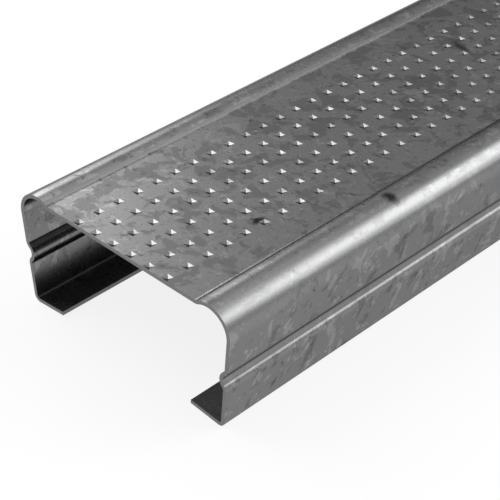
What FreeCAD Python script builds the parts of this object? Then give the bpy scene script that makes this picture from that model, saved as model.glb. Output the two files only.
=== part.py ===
import FreeCAD, Part
import math
import os
import Sketcher

# Ceiling furring channel: one length of galvanised sheet steel, roll-formed to one section from end to end.
# It lies along Y on its two turned-in lips, with the recessed screw face up.
# The origin is on the floor, under the middle of the channel.

# Driving sizes, in millimetres and degrees
driving_sizes = {
    "stock_length": 2400,
    "overall_width": 35,
    "overall_height": 16,
    "sheet_thickness": 0.5,
    "face_recess": 0.5,              # the screw face lies this far below the tops of the two shoulders
    "step_radius": 0.8,              # hollow side of the bend between the face and a shoulder
    "shoulder_inside_radius": 2.85,
    "leg_lean": 5,                   # each leg leans in towards the floor by this angle
    "bead_height": 6.8,              # floor to the centre that the bead's trough is rolled about
    "bead_depth": 0.7,
    "bead_trough_radius": 1,         # hollow side, seen from outside the channel
    "bead_edge_radius": 1.1,         # round side, seen from outside the channel
    "heel_inside_radius": 0.4,       # bend between a leg and its lip
    "lip_width": 5.3,                # outside of the leg to the edge of the lip
}

doc = FreeCAD.newDocument("furring_channel")
sheet = doc.addObject("Spreadsheet::Sheet", "Sizes")
for row, (alias, value) in enumerate(driving_sizes.items(), start=1):
    sheet.set(f"A{row}", alias)
    sheet.set(f"B{row}", str(value))
    sheet.setAlias(f"B{row}", alias)
doc.recompute()


def size(alias):
    return float(sheet.get(alias))


def polar(centre, radius, degrees):
    angle = math.radians(degrees)
    return centre + FreeCAD.Vector(math.cos(angle), math.sin(angle), 0) * radius


def origin_plane(body, role):
    return next(plane for plane in body.Origin.OriginFeatures if plane.Role == role)


# Right half of the section: its runs and bends, in order from the middle of the face to the edge of the lip
section_chain = [
    "face", "step", "shoulder", "upper_leg",
    "bead_top", "bead_trough", "bead_foot",
    "lower_leg", "heel", "lip",
]
skins = ["outer", "inner"]

# The numbers by which a drawing knows a line's or an arc's ends, an arc's centre, and its own axes and origin
start_number = 1
end_number = 2
centre_number = 3
origin_number = -1
upright_axis_number = -2
from_origin = (origin_number, start_number)


# Each bend as its centre, the angles at which the sheet enters and leaves it, and its radius on each skin.
# The drawing starts from these places, and the constraints then hold it to the sizes.
def section_bends():
    thick = size("sheet_thickness")
    lean = size("leg_lean")
    step_radius = size("step_radius")
    shoulder_radius = size("shoulder_inside_radius") + thick
    trough_radius = size("bead_trough_radius")
    edge_radius = size("bead_edge_radius")
    heel_radius = size("heel_inside_radius") + thick
    upright = FreeCAD.Vector(0, 1, 0)
    out_of_leg = polar(FreeCAD.Vector(), 1, -lean)

    shoulder_across = size("overall_width") / 2 - shoulder_radius
    shoulder = FreeCAD.Vector(shoulder_across, size("overall_height") - shoulder_radius, 0)
    step_reach = shoulder_radius + step_radius
    step_turn = math.degrees(math.acos(1 - size("face_recess") / step_reach))
    step = polar(shoulder, step_reach, 90 + step_turn)

    bead_reach = trough_radius + edge_radius
    bead_turn = math.degrees(math.acos(1 - size("bead_depth") / bead_reach))
    leg_offset = shoulder.dot(out_of_leg) + shoulder_radius
    trough_offset = leg_offset + trough_radius - size("bead_depth")
    trough_level = upright * size("bead_height")
    trough_across = (trough_offset - trough_level.dot(out_of_leg)) / out_of_leg.x
    trough = trough_level + FreeCAD.Vector(trough_across, 0, 0)
    bead_top = polar(trough, bead_reach, 180 - lean - bead_turn)
    bead_foot = polar(trough, bead_reach, 180 - lean + bead_turn)

    heel_level = upright * heel_radius
    heel_across = (leg_offset - heel_radius - heel_level.dot(out_of_leg)) / out_of_leg.x
    heel = heel_level + FreeCAD.Vector(heel_across, 0, 0)

    hollow = {"outer": 0, "inner": thick}
    rounded = {"outer": 0, "inner": -thick}
    bends = {
        "step": (step, -90, step_turn - 90, step_radius, hollow),
        "shoulder": (shoulder, 90 + step_turn, -lean, shoulder_radius, rounded),
        "bead_top": (bead_top, -lean, -lean - bead_turn, edge_radius, rounded),
        "bead_trough": (trough, 180 - lean - bead_turn, 180 - lean + bead_turn, trough_radius, hollow),
        "bead_foot": (bead_foot, bead_turn - lean, -lean, edge_radius, rounded),
        "heel": (heel, -lean, -lean - 90, heel_radius, rounded),
    }
    lip_run = out_of_leg * (heel_radius - size("lip_width"))
    return bends, lip_run


class SectionSketch:
    def __init__(self, body):
        self.sketch = body.newObject("Sketcher::SketchObject", "half_section")
        self.sketch.AttachmentSupport = [(origin_plane(body, "XZ_Plane"), "")]
        self.sketch.MapMode = "FlatFace"
        self.edges = {}
        self.draw()
        self.join()
        self.hold_outer_skin()
        self.hold_inner_skin()

    def draw(self):
        bends, lip_run = section_bends()
        for skin in skins:
            entry = {}
            leave = {}
            for name, (centre, entry_angle, leave_angle, radius, skin_offset) in bends.items():
                skin_radius = radius + skin_offset[skin]
                entry[name] = polar(centre, skin_radius, entry_angle)
                leave[name] = polar(centre, skin_radius, leave_angle)
                circle = Part.Circle(centre, FreeCAD.Vector(0, 0, 1), skin_radius)
                low_angle, high_angle = sorted([math.radians(entry_angle), math.radians(leave_angle)])
                arc = Part.ArcOfCircle(circle, low_angle, high_angle)
                turns_left = leave_angle > entry_angle
                ends = (start_number, end_number) if turns_left else (end_number, start_number)
                self.edges[skin, name] = (self.sketch.addGeometry(arc, False), *ends)
            face_middle = FreeCAD.Vector(0, entry["step"].y, 0)
            self.add_line(skin, "face", face_middle, entry["step"])
            self.add_line(skin, "upper_leg", leave["shoulder"], entry["bead_top"])
            self.add_line(skin, "lower_leg", leave["bead_foot"], entry["heel"])
            self.add_line(skin, "lip", leave["heel"], leave["heel"] + lip_run)
        self.add_line("closing", "middle", self.point("inner", "face", 0), self.point("outer", "face", 0))
        self.add_line("closing", "lip_edge", self.point("inner", "lip", 1), self.point("outer", "lip", 1))
        self.add_line("guide", "bead_base", bends["bead_top"][0], bends["bead_foot"][0], construction=True)

    def add_line(self, skin, name, start, end, construction=False):
        index = self.sketch.addGeometry(Part.LineSegment(start, end), construction)
        self.edges[skin, name] = (index, start_number, end_number)

    def point(self, skin, name, end):
        edge = self.edges[skin, name]
        return self.sketch.getPoint(edge[0], edge[1 + end])

    def index(self, skin, name):
        return self.edges[skin, name][0]

    def rule(self, kind, *where):
        return self.sketch.addConstraint(Sketcher.Constraint(kind, *where))

    def bind(self, number, name, formula):
        self.sketch.renameConstraint(number, name)
        self.sketch.setExpression(f"Constraints.{name}", formula)

    # A length in the drawing, worked out from the sheet's cells
    def measure(self, name, formula, kind, *where):
        number = self.rule(kind, *where, self.sketch.evalExpression(formula))
        self.bind(number, name, formula)

    # Along each skin every run flows into its bends without a corner
    def join(self):
        for skin in skins:
            for name, next_name in zip(section_chain, section_chain[1:]):
                index, _, leave = self.edges[skin, name]
                next_index, next_entry, _ = self.edges[skin, next_name]
                self.rule("Tangent", index, leave, next_index, next_entry)
        for closing, run, end in [("middle", "face", 1), ("lip_edge", "lip", 2)]:
            for skin, closing_end in zip(skins, [end_number, start_number]):
                edge = self.edges[skin, run]
                self.rule("Coincident", self.index("closing", closing), closing_end, edge[0], edge[end])
        base = self.index("guide", "bead_base")
        self.rule("Coincident", base, start_number, self.index("outer", "bead_top"), centre_number)
        self.rule("Coincident", base, end_number, self.index("outer", "bead_foot"), centre_number)

    def hold_outer_skin(self):
        face = self.index("outer", "face")
        step = self.index("outer", "step")
        shoulder = self.index("outer", "shoulder")
        upper_leg = self.index("outer", "upper_leg")
        bead_top = self.index("outer", "bead_top")
        trough = self.index("outer", "bead_trough")
        bead_foot = self.index("outer", "bead_foot")
        lower_leg = self.index("outer", "lower_leg")
        heel = self.index("outer", "heel")
        lip = self.index("outer", "lip")
        base = self.index("guide", "bead_base")
        self.rule("Horizontal", face)
        self.rule("PointOnObject", face, start_number, upright_axis_number)
        self.rule("Tangent", upper_leg, lower_leg)
        self.rule("Equal", bead_top, bead_foot)
        self.rule("Perpendicular", lower_leg, lip)

        shoulder_radius = "(Sizes.shoulder_inside_radius + Sizes.sheet_thickness)"
        bead_reach = "Sizes.bead_trough_radius + Sizes.bead_edge_radius - Sizes.bead_depth"
        heel_radius = "(Sizes.heel_inside_radius + Sizes.sheet_thickness)"
        face_level = "Sizes.overall_height - Sizes.face_recess"
        shoulder_across = f"Sizes.overall_width / 2 - {shoulder_radius}"
        shoulder_level = f"Sizes.overall_height - {shoulder_radius}"
        self.measure("face_level", face_level, "DistanceY", *from_origin, face, start_number)
        self.measure("step_radius", "Sizes.step_radius", "Radius", step)
        self.measure("shoulder_radius", shoulder_radius, "Radius", shoulder)
        self.measure("shoulder_across", shoulder_across, "DistanceX", *from_origin, shoulder, centre_number)
        self.measure("shoulder_level", shoulder_level, "DistanceY", *from_origin, shoulder, centre_number)
        self.measure("bead_edge_radius", "Sizes.bead_edge_radius", "Radius", bead_top)
        self.measure("bead_trough_radius", "Sizes.bead_trough_radius", "Radius", trough)
        self.measure("bead_reach", bead_reach, "Distance", trough, centre_number, base)
        self.measure("bead_level", "Sizes.bead_height", "DistanceY", *from_origin, trough, centre_number)
        self.measure("heel_radius", heel_radius, "Radius", heel)
        self.measure("heel_level", heel_radius, "DistanceY", *from_origin, heel, centre_number)
        self.measure("lip_width", "Sizes.lip_width", "Distance", lip, end_number, lower_leg)
        leg_angle = self.rule("Angle", upper_leg, math.radians(-90 - size("leg_lean")))
        self.bind(leg_angle, "leg_angle", "-(90 + Sizes.leg_lean) * 1 deg")

    # The inner skin runs one sheet thickness inside the outer one: the bends share their centres
    def hold_inner_skin(self):
        for name in ["step", "shoulder", "bead_top", "bead_trough", "bead_foot", "heel"]:
            inside, outside = self.index("inner", name), self.index("outer", name)
            self.rule("Coincident", inside, centre_number, outside, centre_number)
        for name in ["upper_leg", "lower_leg", "lip"]:
            self.rule("Parallel", self.index("inner", name), self.index("outer", name))
        face = self.index("inner", "face")
        self.rule("Horizontal", face)
        self.rule("PointOnObject", face, start_number, upright_axis_number)
        self.rule("Perpendicular", self.index("closing", "lip_edge"), self.index("outer", "lip"))
        inside_shoulder = self.index("inner", "shoulder")
        self.measure("shoulder_inside_radius", "Sizes.shoulder_inside_radius", "Radius", inside_shoulder)


# The channel: half the section padded to the stock length, then mirrored about the plane along its middle
def make_channel():
    body = doc.addObject("PartDesign::Body", "furring_channel")
    body.Label = "furring_channel"
    section = SectionSketch(body).sketch
    half = body.newObject("PartDesign::Pad", "half_channel")
    half.Profile = section
    half.SideType = "Symmetric"
    half.setExpression("Length", "Sizes.stock_length")
    doc.recompute()
    whole = body.newObject("PartDesign::Mirrored", "whole_channel")
    whole.Originals = [half]
    whole.MirrorPlane = (origin_plane(body, "YZ_Plane"), [""])
    whole.Refine = True
    body.Tip = whole
    body.Placement = FreeCAD.Placement(FreeCAD.Vector(0, 0, 0), FreeCAD.Rotation())
    doc.recompute()
    return body, section


channel, section = make_channel()

for item in doc.Objects:
    if "Invalid" in item.State or "Error" in item.State:
        raise RuntimeError(f"{item.Label} failed: {item.State}")
if not section.FullyConstrained:
    raise RuntimeError("the section drawing is not held by its dimensions")
if channel.Shape.isNull() or not channel.Shape.isValid() or len(channel.Shape.Solids) != 1:
    raise RuntimeError(f"{channel.Label} is not one valid solid")

os.makedirs("parts", exist_ok=True)
channel.Shape.exportStep(f"parts/{channel.Label}.step")
box = channel.Shape.BoundBox
print(f"{channel.Label}: {box.XLength:.3f} x {box.YLength:.1f} x {box.ZLength:.3f} mm, lowest {box.ZMin:.4f},"
      f" volume {channel.Shape.Volume:.1f} mm3, faces {len(channel.Shape.Faces)}")
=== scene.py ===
import math

import bpy
import numpy as np
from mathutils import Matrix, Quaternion, Vector


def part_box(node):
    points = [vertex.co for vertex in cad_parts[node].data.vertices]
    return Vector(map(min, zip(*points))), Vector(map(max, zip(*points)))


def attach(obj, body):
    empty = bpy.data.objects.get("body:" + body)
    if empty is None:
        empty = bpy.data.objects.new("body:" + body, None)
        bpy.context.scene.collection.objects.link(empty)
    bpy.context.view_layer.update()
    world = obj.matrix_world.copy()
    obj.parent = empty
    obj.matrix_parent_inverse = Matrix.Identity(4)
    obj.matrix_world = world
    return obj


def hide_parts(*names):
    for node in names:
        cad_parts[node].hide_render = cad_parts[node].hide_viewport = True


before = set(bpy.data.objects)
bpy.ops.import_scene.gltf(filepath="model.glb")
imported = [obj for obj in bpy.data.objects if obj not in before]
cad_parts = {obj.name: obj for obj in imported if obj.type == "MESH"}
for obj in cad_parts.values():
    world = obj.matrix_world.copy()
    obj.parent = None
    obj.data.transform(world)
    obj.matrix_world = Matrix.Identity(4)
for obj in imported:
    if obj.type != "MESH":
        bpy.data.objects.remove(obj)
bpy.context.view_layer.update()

mm = 0.001
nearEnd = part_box("furring_channel")[0].y  # the end that faces the camera
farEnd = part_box("furring_channel")[1].y
print("frame loaded, length", round((farEnd - nearEnd) / mm, 1), "mm")


class Wire:
    # a node's output that takes part in sums
    def __init__(self, bench, socket):
        self.bench = bench
        self.socket = socket

    def maths(self, operation, first, second):
        return self.bench.add("ShaderNodeMath", {"operation": operation}, {0: first, 1: second})

    def __add__(self, other):
        return self.maths("ADD", self, other)

    def __sub__(self, other):
        return self.maths("SUBTRACT", self, other)

    def __rsub__(self, other):
        return self.maths("SUBTRACT", other, self)

    def __mul__(self, other):
        return self.maths("MULTIPLY", self, other)

    def __or__(self, other):
        return self.maths("MAXIMUM", self, other)

    def __abs__(self):
        return self.maths("ABSOLUTE", self, 0.0)

    __radd__ = __add__
    __rmul__ = __mul__
    __ror__ = __or__


class Bench:
    # the node tree that a finish is put together on
    def __init__(self, owner):
        owner.use_nodes = True
        self.tree = owner.node_tree
        self.tree.nodes.clear()

    def add(self, kind, settings=None, sockets=None, out=0):
        node = self.tree.nodes.new(kind)
        for name, value in (settings or {}).items():
            if name == "stops":
                self.setStops(node.color_ramp.elements, value)
            else:
                setattr(node, name, value)
        for name, value in (sockets or {}).items():
            if isinstance(value, Wire):
                self.tree.links.new(value.socket, node.inputs[name])
            else:
                node.inputs[name].default_value = value
        return Wire(self, node.outputs[out]) if len(node.outputs) else None

    def setStops(self, elements, stops):
        while len(elements) < len(stops):
            elements.new(1.0)
        for element, (place, grey) in zip(elements, stops):
            element.position = place
            element.color = (grey, grey, grey, 1.0)

    def mixColour(self, factor, first, second):
        sockets = {0: factor, 6: first, 7: second}  # the sockets that a Mix node keeps for colours
        return self.add("ShaderNodeMix", {"data_type": "RGBA"}, sockets, out=2)

    def mixVector(self, factor, first, second):
        sockets = {0: factor, 4: first, 5: second}  # and for vectors
        return self.add("ShaderNodeMix", {"data_type": "VECTOR"}, sockets, out=1)

    def vector(self, operation, first, second=None, out=0):
        sockets = {0: first}
        if second is not None:
            sockets[1] = second
        return self.add("ShaderNodeVectorMath", {"operation": operation}, sockets, out)

    def inMillimetres(self):
        place = self.add("ShaderNodeTexCoord", out="Object")
        return self.vector("MULTIPLY", place, (1 / mm, 1 / mm, 1 / mm))

    def stretched(self, place, slant, by):
        # what is drawn on this place comes out longer along the slant
        along = Vector(slant).normalized()
        reach = self.vector("DOT_PRODUCT", place, along, out=1)
        back = self.add("ShaderNodeVectorMath", {"operation": "SCALE"}, {
            0: along, "Scale": reach * (1 - 1 / by)})
        return self.vector("SUBTRACT", place, back)

    def noise(self, place, size, detail, roughness, swirl=0.0):
        return self.add("ShaderNodeTexNoise", {"noise_dimensions": "3D"}, {
            "Vector": place, "Scale": 1 / size, "Detail": detail,
            "Roughness": roughness, "Distortion": swirl})

    def ripple(self, *settings):
        return self.noise(*settings) - 0.5  # as much below 0 as above

    def ramp(self, value, stops):
        return self.add("ShaderNodeValToRGB", {"stops": stops}, {0: value})

    def above(self, value, start, end):
        return self.ramp(value, [(start, 0.0), (end, 1.0)])

    def below(self, value, start, end):
        return self.ramp(value, [(start, 1.0), (end, 0.0)])

    def fade(self, value, start, end, first, last):
        return self.add("ShaderNodeMapRange", {}, {0: value, 1: start, 2: end, 3: first, 4: last})

    def between(self, value, low, high, soft):
        # 1 from low to high, fading to 0 over the soft width on either side of each
        rise = self.fade(value, low - soft, low + soft, 0.0, 1.0)
        fall = self.fade(value, high - soft, high + soft, 1.0, 0.0)
        return rise * fall

    def bump(self, height, strength, depth):
        return self.add("ShaderNodeBump", {}, {
            "Strength": strength, "Distance": depth * mm, "Height": height})

    def finish(self, shader, target="ShaderNodeOutputMaterial"):
        self.add(target, {}, {"Surface": shader})


channel = {  # millimetres and degrees, the same section as the solid, then how its bends are drawn
    "width": 35.0,
    "height": 16.0,
    "sheet": 0.5,
    "faceRecess": 0.5,
    "stepRadius": 0.8,
    "shoulderRadius": 2.85,
    "legLean": 5.0,
    "beadHeight": 6.8,
    "beadDepth": 0.7,
    "troughRadius": 1.0,
    "beadEdgeRadius": 1.1,
    "heelRadius": 0.4,
    "lipWidth": 5.3,
    "flats": {"step": 6, "shoulder": 20, "beadEdge": 6, "trough": 10, "heel": 8},  # strips to a bend
    "sharpFrom": 14.0,  # a fold that turns by more isn't shaded as round
}
knurl = {  # the square pits pressed into the face, in millimetres
    "pitch": 2.952,
    "columns": 6,
    "side": 1.0,
    "depth": 0.195,
    "lean": (0.04, 0.07),  # how far the bottom sits off the pit's middle, across and along
    "firstRow": 0.58,  # middle of the first row from the near end
    "cutMargin": 0.02,  # sheet left between the cut end and the first row
    "underSide": 1.5,  # the low bumps that the pits raise underneath
    "underDepth": 0.09,
    "rowsPerStretch": 16,  # the bends are divided along the length once in so many rows
}


def around(middle, radius, degrees):
    turn = math.radians(degrees)
    return np.array((middle[0] + radius * math.cos(turn), middle[1] + radius * math.sin(turn)))


def halfSection():
    # outer skin, inner skin and outward directions, from the face's edge to the lip
    sheet = channel["sheet"]
    lean = channel["legLean"]
    outer = channel["shoulderRadius"] + sheet
    shoulder = np.array((channel["width"] / 2 - outer, channel["height"] - outer))
    stepReach = outer + channel["stepRadius"]
    stepTurn = math.degrees(math.acos(1 - channel["faceRecess"] / stepReach))
    step = around(shoulder, stepReach, 90 + stepTurn)
    outOfLeg = around((0, 0), 1, -lean)
    legReach = shoulder @ outOfLeg + outer

    def onLeg(height, reach):
        return np.array(((reach - height * outOfLeg[1]) / outOfLeg[0], height))

    edgeRadius = channel["beadEdgeRadius"]
    troughRadius = channel["troughRadius"]
    beadReach = troughRadius + edgeRadius
    beadTurn = math.degrees(math.acos(1 - channel["beadDepth"] / beadReach))
    trough = onLeg(channel["beadHeight"], legReach + troughRadius - channel["beadDepth"])
    intoLeg = 180 - lean
    beadTop = around(trough, beadReach, intoLeg - beadTurn)
    beadFoot = around(trough, beadReach, intoLeg + beadTurn)
    heelOuter = channel["heelRadius"] + sheet
    heel = onLeg(heelOuter, legReach - heelOuter)

    # middle, outer skin's radius, first and last angle, strips, 1 where the middle is inside the channel
    flats = channel["flats"]
    bends = (
        (step, channel["stepRadius"], -90, stepTurn - 90, flats["step"], -1),
        (shoulder, outer, 90 + stepTurn, -lean, flats["shoulder"], 1),
        (beadTop, edgeRadius, -lean, -lean - beadTurn, flats["beadEdge"], 1),
        (trough, troughRadius, intoLeg - beadTurn, intoLeg + beadTurn, flats["trough"], -1),
        (beadFoot, edgeRadius, beadTurn - lean, -lean, flats["beadEdge"], 1),
        (heel, heelOuter, -lean, -lean - 90, flats["heel"], 1),
    )
    skin, inside, outward = [], [], []
    for middle, radius, first, last, strips, sense in bends:
        for degrees in np.linspace(first, last, strips + 1):
            point = around(middle, radius, degrees)
            if skin and np.allclose(skin[-1], point):
                continue  # this bend runs straight on from the last one
            skin.append(point)
            inside.append(around(middle, radius - sense * sheet, degrees))
            outward.append(sense * around((0, 0), 1, degrees))
    lip = outOfLeg * (heelOuter - channel["lipWidth"])  # from the heel inwards
    skin.append(skin[-1] + lip)
    inside.append(inside[-1] + lip)
    outward.append(outward[-1])
    return np.array(skin), np.array(inside), np.array(outward)


class SheetMesh:
    # points, faces and the shading direction of each rounded face's corners
    def __init__(self):
        self.points = []
        self.directions = []
        self.faces = []
        self.rounded = []
        self.cut = []

    def point(self, x, y, z, direction=(0.0, 0.0, 1.0)):
        # x and z in millimetres, y in metres as the frame gives it
        self.points.append((x * mm, y, z * mm))
        self.directions.append(direction)
        return len(self.points) - 1

    def face(self, corners, flip=False, rounded=False, cut=False):
        self.faces.append(corners[::-1] if flip else corners)
        self.rounded.append(rounded)
        self.cut.append(cut)

    def build(self, name, materials):
        mesh = bpy.data.meshes.new(name)
        mesh.from_pydata(self.points, [], self.faces)
        for material in materials:
            mesh.materials.append(material)
        mesh.polygons.foreach_set("material_index", np.array(self.cut, np.int32))
        mesh.polygons.foreach_set("use_smooth", np.ones(len(self.faces), bool))
        mesh.update()
        mesh.set_sharp_from_angle(angle=math.radians(channel["sharpFrom"]))
        corners = np.zeros(len(mesh.loops), np.int32)
        mesh.loops.foreach_get("vertex_index", corners)
        normals = np.zeros(len(self.faces) * 3, np.float32)
        mesh.polygons.foreach_get("normal", normals)
        counts = np.array([len(face) for face in self.faces])
        isRounded = np.repeat(np.array(self.rounded), counts)[:, None]
        roundShading = np.array(self.directions)[corners]
        flatShading = np.repeat(normals.reshape(-1, 3), counts, 0)
        mesh.normals_split_custom_set(np.where(isRounded, roundShading, flatShading).tolist())
        piece = bpy.data.objects.new(name, mesh)
        bpy.context.scene.collection.objects.link(piece)
        return piece


def knurledFace(sheetMesh, rowEdges, level, side, depth, flip):
    # one skin of the face: flat cells with a square pit in each, pointing down
    columns, pitch = knurl["columns"], knurl["pitch"]
    leanAcross, leanAlong = knurl["lean"]
    reach = side / 2
    edges = [(column - columns / 2) * pitch for column in range(columns + 1)]
    grid = [[sheetMesh.point(x, y, level) for x in edges] for y in rowEdges]
    for row in range(len(rowEdges) - 1):
        middleY = nearEnd + (knurl["firstRow"] + row * pitch) * mm
        near = max(middleY - reach * mm, nearEnd + knurl["cutMargin"] * mm)
        far = middleY + reach * mm
        for column in range(columns):
            middleX = edges[column] + pitch / 2
            left, right = middleX - reach, middleX + reach
            square = ((left, near), (right, near), (right, far), (left, far))
            rim = [sheetMesh.point(x, y, level) for x, y in square]
            deep = sheetMesh.point(middleX + leanAcross, middleY + leanAlong * mm, level - depth)
            cell = grid[row][column:column + 2] + grid[row + 1][column:column + 2][::-1]
            for k in range(4):
                follow = (k + 1) % 4
                sheetMesh.face([cell[k], cell[follow], rim[follow], rim[k]], flip)
                sheetMesh.face([rim[k], rim[follow], deep], flip)
    return grid


def zoneLimits():
    # the parts of the sheet that have a look of their own, by their height and their distance from the
    # middle, each as lowest, highest and softness (mm)
    top = channel["height"]
    face = top - channel["faceRecess"]
    bead = channel["beadHeight"]
    side = channel["width"] / 2
    faceEdge = halfSection()[0][0][0]  # where the step begins
    pitted = knurl["columns"] * knurl["pitch"] / 2
    return {
        "face": ((face - 0.6, face + 0.2, 0.1), (-side, side, 0.1)),
        "pits": ((face - 0.3, face - 0.07, 0.04), (-pitted, pitted, 0.05)),
        "underFace": ((face - 1.5, face - 0.025, 0.015), (-faceEdge, faceEdge, 0.05)),
        "shoulders": ((top - 2.8, top - 0.1, 0.3), (side - 2.9, side - 0.1, 0.4)),
        "beads": ((bead - 0.7, bead + 1.5, 0.15), (side - 1.5, side + 0.1, 0.1)),
        # crease: a painted shade line in the right step's concave bend
        "crease": ((face - 0.1, face + 0.6, 0.04), (faceEdge + 0.345, faceEdge + 0.575, 0.08)),
    }


scuffs = {
    # place across, from the near end and above the face, length, width (mm), turn (deg), depth of tone
    "marks": [
        (6.76, 14.62, 0.0, 0.85, 0.5, 121.0, 0.75),
        (6.72, 15.38, 0.0, 0.95, 0.6, 72.0, 0.95),
        (14.46, 28.71, 0.45, 1.7, 1.0, -5.0, 0.97),
        (-2.95, 63.75, 0.0, 2.9, 0.75, -14.0, 0.8),
        (6.6, 31.0, 0.0, 0.9, 0.5, 20.0, 0.45),
        (9.6, 30.6, 0.0, 2.2, 0.22, -25.0, 0.35),
        (-7.9, 24.2, 0.0, 0.9, 0.5, 60.0, 0.35),
        (-5.5, 33.0, 0.0, 1.0, 0.6, 40.0, 0.35),
    ],
    "reachUp": 2.5,  # mm above and below its place that a mark carries on round a bend
    "core": 0.35,  # share of a mark that has its full tone
    "ragged": 0.9,  # how uneven the outline is
    "raggedNoise": (0.7, 3.0, 0.6),  # size (mm), detail, roughness
}


def scuffTone(bench, place):
    # how much of the light each rub mark takes away, all marks together
    ragged = bench.ripple(place, *scuffs["raggedNoise"]) * scuffs["ragged"]
    face = channel["height"] - channel["faceRecess"]
    tones = []
    for across, along, above, length, width, turn, depth in scuffs["marks"]:
        middle = (across, nearEnd / mm + along, face + above)
        local = bench.vector("SUBTRACT", place, middle)
        turned = bench.add("ShaderNodeVectorRotate", {"rotation_type": "Z_AXIS"}, {
            "Vector": local, "Angle": math.radians(-turn)})
        scaled = bench.vector("MULTIPLY", turned, (1 / length, 1 / width, 1 / scuffs["reachUp"]))
        far = bench.vector("LENGTH", scaled, out=1) + ragged
        tones.append(bench.below(far, scuffs["core"], 1.0) * depth)
    return sum(tones)


zinc = {
    "dark": (0.100, 0.1005, 0.102, 1.0),
    "light": (0.350, 0.351, 0.353, 1.0),
    "sootAndCreaseShade": (0.026, 0.026, 0.027, 1.0),  # rub marks, and the painted shade along one crease
    "edgeTint": (0.45, 0.45, 0.45, 1.0),  # dulls what the sheet mirrors at a low angle
    "slant": (1.0, 1.0, 1.0),  # the way that the mottling is drawn out, and how much
    "stretch": 1.35,
    "legSlant": (0.0, 0.6, 1.0),  # drawn out once more on the legs, nearer upright
    "legStretch": 1.28,
    "apart": (311.0, 97.0, 53.0),  # mm between the dull and the bright patches' patterns
    # every noise by its size (mm), detail, roughness and swirl
    "dullNoise": (2.6, 5.0, 0.62, 0.6),
    "brightNoise": (2.21, 5.0, 0.62, 0.6),
    "fleckNoise": (0.8, 2.0, 0.5),
    "cloudNoise": (17.0, 2.0, 0.5),  # the slow change of tone
    "grainNoise": (0.35, 2.0, 0.5),
    "dentNoise": (1.3, 3.0, 0.55),
    # where in its noise each patch starts and ends its edge
    "dullEdge": (0.405, 0.413),
    "brightEdge": (0.567, 0.575),
    "dullFleckEdge": (0.335, 0.365),
    "brightFleckEdge": (0.645, 0.675),
    "faceDuller": 0.055,  # taken off the noise on the face, for more dull patches there
    "faceLessBright": 0.036,  # and for fewer bright ones
    # tone is 0 at dark and 1 at light, and each layer moves it by so much
    "tone": 0.50,
    "brightTone": (0.28, 0.19),  # on the legs and on the face
    "dullTone": (0.22, 0.25),
    "fleckTone": 0.2,
    "cloudTone": 0.2,
    "grainTone": 0.08,
    # painted shade: the pits are darkened where shade falls in the hollows
    "pitShade": 0.08,
    "rolledSmooth": 0.7,  # share of the mottling that the rolls took off the shoulders and beads
    "roughness": 0.28,
    "patchRoughness": 0.025,
    "grainRoughness": 0.06,
    "scuffRoughness": 0.2,
    "pitPolish": 0.07,
    "dentShare": 0.7,  # of the bump, the rest being grain
    "bump": (0.12, 0.03),  # strength and depth (mm)
    "creaseShade": 0.45,  # depth of the painted shade in the right step's crease
}


def galvanised():
    material = bpy.data.materials.new("galvanisedSheet")
    bench = Bench(material)
    place = bench.inMillimetres()
    across, up = [bench.add("ShaderNodeSeparateXYZ", {}, {0: place}, out=name) for name in "XZ"]
    limits = zoneLimits()

    def zone(name, reach):
        return bench.between(up, *limits[name][0]) * bench.between(reach, *limits[name][1])

    onFace = zone("face", across)
    inPits = zone("pits", across)
    underFace = zone("underFace", across)
    shadedCrease = zone("crease", across)
    outwards = abs(across)
    rolled = zone("shoulders", outwards) + zone("beads", outwards)

    facePlace = bench.stretched(place, zinc["slant"], zinc["stretch"])
    legPlace = bench.stretched(facePlace, zinc["legSlant"], zinc["legStretch"])
    drawn = bench.mixVector(onFace, legPlace, facePlace)
    apart = bench.vector("ADD", drawn, zinc["apart"])
    dullest = bench.noise(drawn, *zinc["dullNoise"]) - onFace * zinc["faceDuller"]
    brightest = bench.noise(apart, *zinc["brightNoise"]) - onFace * zinc["faceLessBright"]
    dull = bench.below(dullest, *zinc["dullEdge"])
    bright = bench.above(brightest, *zinc["brightEdge"])
    dullFlecks = bench.below(bench.noise(apart, *zinc["fleckNoise"]), *zinc["dullFleckEdge"])
    brightFlecks = bench.above(bench.noise(drawn, *zinc["fleckNoise"]), *zinc["brightFleckEdge"])
    clouds = bench.ripple(place, *zinc["cloudNoise"])
    grain = bench.ripple(place, *zinc["grainNoise"])
    dents = bench.ripple(place, *zinc["dentNoise"])
    rubbed = scuffTone(bench, place) * (1 - underFace)  # the marks are on the upper skin alone

    def strength(onLegs, onTheFace):
        return onLegs + onFace * (onTheFace - onLegs)

    mottle = bright * strength(*zinc["brightTone"]) - dull * strength(*zinc["dullTone"])
    mottle = mottle + (brightFlecks - dullFlecks) * zinc["fleckTone"]
    tone = zinc["tone"] + mottle * (1 - rolled * zinc["rolledSmooth"])
    # less tone in the pits is painted shade
    tone = tone + clouds * zinc["cloudTone"] + grain * zinc["grainTone"] - inPits * zinc["pitShade"]
    colour = bench.mixColour(tone, zinc["dark"], zinc["light"])
    # rub marks, and painted shade along the right step's crease
    colour = bench.mixColour(rubbed + shadedCrease * zinc["creaseShade"], colour, zinc["sootAndCreaseShade"])
    roughness = zinc["roughness"] + (dull - bright) * zinc["patchRoughness"]
    roughness = roughness + grain * zinc["grainRoughness"]
    roughness = roughness + rubbed * zinc["scuffRoughness"] - inPits * zinc["pitPolish"]
    height = dents * zinc["dentShare"] + grain * (1 - zinc["dentShare"])
    shader = bench.add("ShaderNodeBsdfPrincipled", {}, {
        "Base Color": colour, "Metallic": 1.0, "Roughness": roughness,
        "Specular Tint": zinc["edgeTint"], "Normal": bench.bump(height, *zinc["bump"])})
    bench.finish(shader)
    return material


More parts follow.
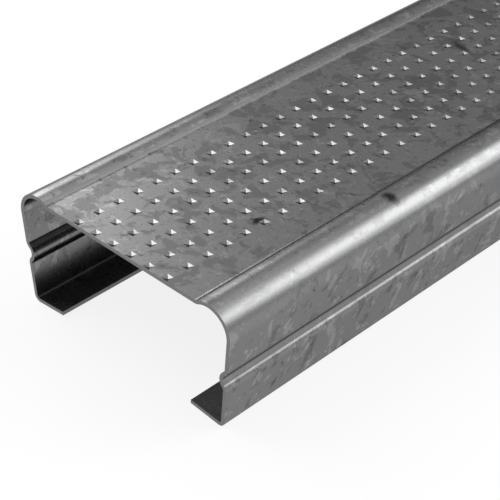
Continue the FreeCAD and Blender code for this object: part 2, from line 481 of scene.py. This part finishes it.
cutEdge = {  # the bare sheared edge at the ends and along the lips
    "dark": (0.15, 0.15, 0.152, 1.0),
    "light": (0.27, 0.27, 0.272, 1.0),
    "finer": (6.0, 1.0, 1.2),  # how much finer the shear marks are across, along and up
    "shearNoise": (0.8, 4.0, 0.6),  # size (mm), detail, roughness
    "metallic": 0.8,
    "roughness": 0.45,
    "shearRoughness": 0.2,
    "bump": (0.2, 0.02),  # strength and depth (mm)
}


def cutSteel():
    material = bpy.data.materials.new("cutSteelEdge")
    bench = Bench(material)
    place = bench.vector("MULTIPLY", bench.inMillimetres(), cutEdge["finer"])
    shear = bench.noise(place, *cutEdge["shearNoise"])
    shader = bench.add("ShaderNodeBsdfPrincipled", {}, {
        "Base Color": bench.mixColour(shear, cutEdge["dark"], cutEdge["light"]),
        "Metallic": cutEdge["metallic"],
        "Roughness": cutEdge["roughness"] + shear * cutEdge["shearRoughness"],
        "Normal": bench.bump(shear, *cutEdge["bump"])})
    bench.finish(shader)
    return material


def makeChannel():
    sheetMesh = SheetMesh()
    skin, inside, outward = halfSection()
    pitch, firstRow = knurl["pitch"], knurl["firstRow"]
    length = (farEnd - nearEnd) / mm
    rows = int((length - firstRow - pitch / 2) / pitch) + 1
    rowEdges = [nearEnd + (firstRow + (row - 0.5) * pitch) * mm for row in range(rows + 1)]
    rowEdges[0] = nearEnd
    rowEdges[-1] = farEnd
    stops = list(range(0, rows, knurl["rowsPerStretch"])) + [rows]

    faceTop = skin[0][1]
    faceUnder = inside[0][1]
    top = knurledFace(sheetMesh, rowEdges, faceTop, knurl["side"], knurl["depth"], False)
    under = knurledFace(sheetMesh, rowEdges, faceUnder, knurl["underSide"], knurl["underDepth"], True)

    # each side's two skins, as rows of points down from the face's edge to the lip
    runs = {}
    for hand in (1, -1):
        for layer, line, sense in (("out", skin, 1), ("in", inside, -1)):
            runs[hand, layer] = [[
                sheetMesh.point(hand * x, rowEdges[stop], z, (sense * hand * nx, 0.0, sense * nz))
                for (x, z), (nx, nz) in zip(line, outward)] for stop in stops]

    # the flats beside the pits, the bends and legs, the lips' edges, then the cut ends
    last = len(skin) - 1
    for hand in (1, -1):
        out, into = runs[hand, "out"], runs[hand, "in"]
        edge = -1 if hand == 1 else 0
        for here in range(len(stops) - 1):
            there = here + 1
            span = range(stops[here], stops[there] + 1)
            for grid, run, isUnder in ((top, out, False), (under, into, True)):
                strip = [grid[row][edge] for row in span] + [run[there][0], run[here][0]]
                sheetMesh.face(strip, flip=(hand == 1) != isUnder)
            for k in range(last):
                for run, flip in ((out, hand == -1), (into, hand == 1)):
                    near, far = run[here], run[there]
                    sheetMesh.face([near[k], near[k + 1], far[k + 1], far[k]], flip, rounded=True)
            lipEdge = [out[here][last], into[here][last], into[there][last], out[there][last]]
            sheetMesh.face(lipEdge, hand == -1, cut=True)
        for end, flip in ((0, hand == 1), (-1, hand == -1)):
            upper, lower = out[end], into[end]
            for k in range(last):
                sheetMesh.face([upper[k], upper[k + 1], lower[k + 1], lower[k]], flip, cut=True)
    for end, flip in ((0, True), (-1, False)):
        upper = [runs[-1, "out"][end][0]] + top[end] + [runs[1, "out"][end][0]]
        lower = [runs[-1, "in"][end][0]] + under[end] + [runs[1, "in"][end][0]]
        for k in range(len(upper) - 1):
            sheetMesh.face([upper[k], upper[k + 1], lower[k + 1], lower[k]], flip, cut=True)
    piece = sheetMesh.build("knurledChannel", [galvanised(), cutSteel()])
    triangles = sum(len(face) - 2 for face in sheetMesh.faces)
    print("channel made:", rows, "rows of pits,", triangles, "triangles")
    return piece


piece = makeChannel()
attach(piece, "root")
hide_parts("furring_channel")


studio = {
    "floorSize": 60.0,  # metres
    "floorPaper": (0.9, 0.9, 0.9, 1.0),
    "floorWhite": 0.85,  # how much of the floor the camera and the metal see as plain white
    "room": [  # the room's grey by height: -1 straight down, 0 level, 1 straight up
        (-1.0, 0.80),
        (-0.02, 0.60),
        (0.02, 0.10),
        (0.13, 0.15),
        (0.34, 0.42),
        (0.50, 0.60),
        (1.0, 0.60),
    ],
    # shape, azimuth from +X towards +Y, height, roll (deg), away, width, depth (m), glow (1 is white)
    "softboxes": {
        "leftSoftbox": ("RECTANGLE", 190.0, 46.0, 0.0, 6.0, 3.4, 3.4, 4.1),
        "lowSoftbox": ("RECTANGLE", 157.5, 23.5, 11.0, 6.0, 2.8, 3.2, 3.5),
        "backSoftbox": ("ELLIPSE", 54.5, 31.0, 0.0, 6.0, 4.6, 4.9, 1.9),
        "backCore": ("ELLIPSE", 57.5, 33.5, 0.0, 5.9, 3.2, 2.35, 2.25),
        "topSoftbox": ("RECTANGLE", 120.0, 60.0, 0.0, 6.0, 3.2, 2.4, 0.6),
        "stripSoftbox": ("RECTANGLE", 73.5, 50.0, -12.0, 6.0, 1.3, 3.3, 1.3),
        "rearFill": ("RECTANGLE", 40.0, 8.0, 0.0, 6.0, 5.0, 1.45, 0.6),
    },
}


def makeFloor():
    half = studio["floorSize"] / 2
    corners = [(-half, -half, 0), (half, -half, 0), (half, half, 0), (-half, half, 0)]
    mesh = bpy.data.meshes.new("paleFloor")
    mesh.from_pydata(corners, [], [(0, 1, 2, 3)])
    floor = bpy.data.objects.new("paleFloor", mesh)
    bpy.context.scene.collection.objects.link(floor)
    material = bpy.data.materials.new("whiteSweep")
    bench = Bench(material)
    camera, glossy, through = [bench.add("ShaderNodeLightPath", out=name)
                               for name in ("Is Camera Ray", "Is Glossy Ray", "Is Transmission Ray")]
    seen = camera | glossy | through
    paper = bench.add("ShaderNodeBsdfDiffuse", {}, {"Color": studio["floorPaper"]})
    glow = bench.add("ShaderNodeEmission", {}, {"Color": (1.0, 1.0, 1.0, 1.0), "Strength": 1.0})
    top = bench.add("ShaderNodeMixShader", {}, {0: seen * studio["floorWhite"], 1: paper, 2: glow})
    clear = bench.add("ShaderNodeBsdfTransparent")  # the channel can be looked at from below
    fromBelow = bench.add("ShaderNodeNewGeometry", out="Backfacing")
    bench.finish(bench.add("ShaderNodeMixShader", {}, {0: fromBelow, 1: top, 2: clear}))
    mesh.materials.append(material)


def makeRoom():
    world = bpy.data.worlds.new("softRoom")
    bpy.context.scene.world = world
    bench = Bench(world)
    towards = bench.add("ShaderNodeTexCoord", out="Generated")
    height = bench.add("ShaderNodeSeparateXYZ", {}, {0: towards}, out="Z")
    stops = [(level * 0.5 + 0.5, tone) for level, tone in studio["room"]]  # a ramp runs from 0 to 1
    grey = bench.ramp(height * 0.5 + 0.5, stops)
    bench.finish(bench.add("ShaderNodeBackground", {}, {"Color": grey}), "ShaderNodeOutputWorld")


def unitVector(azimuth, height):
    # degrees round from +X towards +Y, and degrees up
    turn, rise = math.radians(azimuth), math.radians(height)
    return Vector((math.cos(turn) * math.cos(rise), math.sin(turn) * math.cos(rise), math.sin(rise)))


def makeSoftboxes():
    for name, settings in studio["softboxes"].items():
        shape, azimuth, height, roll, away, width, depth, glow = settings
        lamp = bpy.data.lights.new(name, "AREA")
        lamp.shape = shape
        lamp.size = width
        lamp.size_y = depth
        area = width * depth * (math.pi / 4 if shape == "ELLIPSE" else 1)
        lamp.energy = glow * math.pi * area
        holder = bpy.data.objects.new(name, lamp)
        towards = unitVector(azimuth, height)
        holder.location = Vector((0, nearEnd, 0)) + towards * away
        holder.rotation_mode = "QUATERNION"
        spin = Quaternion((0, 0, 1), math.radians(roll))
        holder.rotation_quaternion = towards.to_track_quat("Z", "Y") @ spin
        bpy.context.scene.collection.objects.link(holder)
    print("stage set:", len(studio["softboxes"]), "softboxes")


view = {  # where the photograph was taken from
    "place": (0.10479, -0.08461, 0.11211),  # metres from the near end's foot
    "turn": 44.91,  # degrees to the left of straight along the channel
    "tilt": 35.758,  # degrees down
    "lens": 108.46,  # mm, on a sensor of the width below
    "sensor": 36.0,
    "nearest": 0.01,  # metres
    "furthest": 200.0,
}


def makeCamera():
    lens = bpy.data.cameras.new("photoCamera")
    lens.lens = view["lens"]
    lens.sensor_width = view["sensor"]
    lens.clip_start = view["nearest"]
    lens.clip_end = view["furthest"]
    camera = bpy.data.objects.new("photoCamera", lens)
    bpy.context.scene.collection.objects.link(camera)
    x, y, z = view["place"]
    camera.location = (x, nearEnd + y, z)
    look = unitVector(90 + view["turn"], -view["tilt"])
    camera.rotation_mode = "QUATERNION"
    camera.rotation_quaternion = look.to_track_quat("-Z", "Y")
    bpy.context.scene.camera = camera
    bpy.context.scene.view_settings.view_transform = "Standard"
    print("camera placed")


makeFloor()
makeRoom()
makeSoftboxes()
makeCamera()
